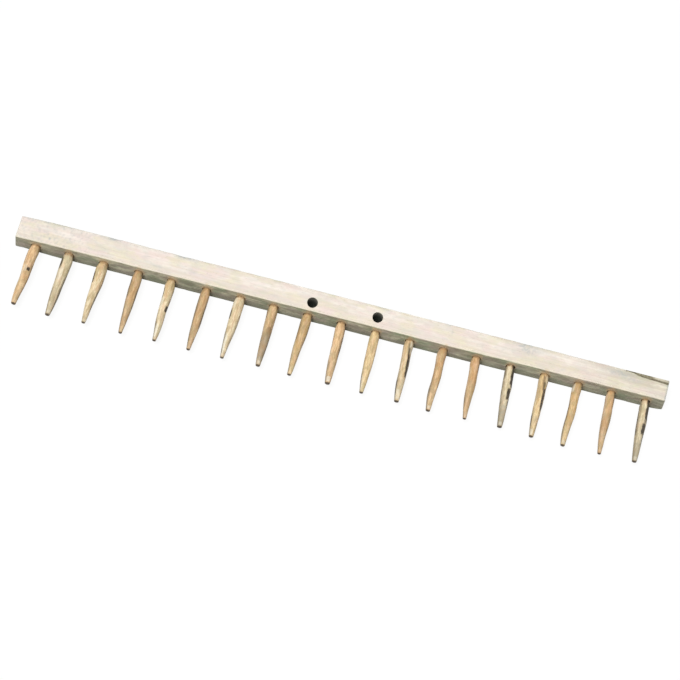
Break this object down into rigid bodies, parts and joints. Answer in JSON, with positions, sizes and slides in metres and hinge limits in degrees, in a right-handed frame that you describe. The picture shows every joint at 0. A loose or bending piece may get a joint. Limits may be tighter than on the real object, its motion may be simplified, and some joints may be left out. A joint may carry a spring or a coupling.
{
  "type": "wooden rake head",
  "caption": "Head of a wooden rake: a long square-edged wooden bar with a row of tapered round teeth set in its narrow face and oval bores for the handle.",
  "frame": {"origin": "on the bar's underside, below the place of the middle tooth and in the middle of the bar's mean width", "axes": "+X along the bar towards its narrower end, +Y towards the bar's back face, -Y the way the teeth point, +Z out of the wide face that the handle bores open into"},
  "size_m": [0.766, 0.1133, 0.0236],
  "materials": {
    "bar_wood": "pale weathered sawn wood",
    "tooth_pale_wood": "smooth unvarnished pale wood",
    "tooth_golden_wood": "smooth unvarnished golden wood",
    "tooth_orange_wood": "smooth unvarnished orange-tan wood",
    "tooth_brown_wood": "smooth unvarnished brown wood",
    "tooth_grey_wood": "weathered grey-cream wood"
  },
  "bodies": {
    "root": {"head_bar": "bar_wood", "tooth_01": "tooth_orange_wood", "tooth_02": "tooth_grey_wood", "tooth_03": "tooth_pale_wood", "tooth_04": "tooth_brown_wood", "tooth_05": "tooth_pale_wood", "tooth_06": "tooth_brown_wood", "tooth_07": "tooth_pale_wood", "tooth_08": "tooth_brown_wood", "tooth_09": "tooth_golden_wood", "tooth_10": "tooth_orange_wood", "tooth_11": "tooth_golden_wood", "tooth_12": "tooth_pale_wood", "tooth_13": "tooth_orange_wood", "tooth_14": "tooth_orange_wood", "tooth_15": "tooth_grey_wood", "tooth_16": "tooth_golden_wood", "tooth_17": "tooth_golden_wood", "tooth_18": "tooth_orange_wood", "tooth_19": "tooth_grey_wood"}
  },
  "joints": []
}
